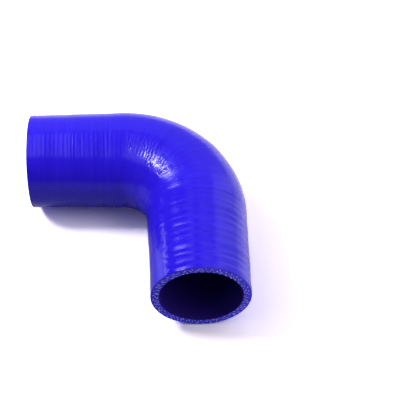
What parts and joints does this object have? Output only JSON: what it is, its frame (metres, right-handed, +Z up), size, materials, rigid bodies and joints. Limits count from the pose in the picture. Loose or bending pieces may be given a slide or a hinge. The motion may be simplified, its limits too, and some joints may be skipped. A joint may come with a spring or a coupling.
{
  "type": "silicone elbow hose",
  "caption": "Blue silicone coolant or intake hose, a 90 degree elbow with straight ends, that joins two round pipes and is held by band clamps.",
  "frame": {"origin": "on the surface that the hose lies on, under the middle of its plan", "axes": "+Z up, -X out of the left leg along its axis, -Y out of the front leg along its axis"},
  "size_m": [0.1392, 0.1414, 0.0621],
  "materials": {
    "blue_silicone": "glossy, with faint rings from the curing tape"
  },
  "bodies": {
    "root": {"elbow_hose": "blue_silicone"}
  },
  "joints": []
}
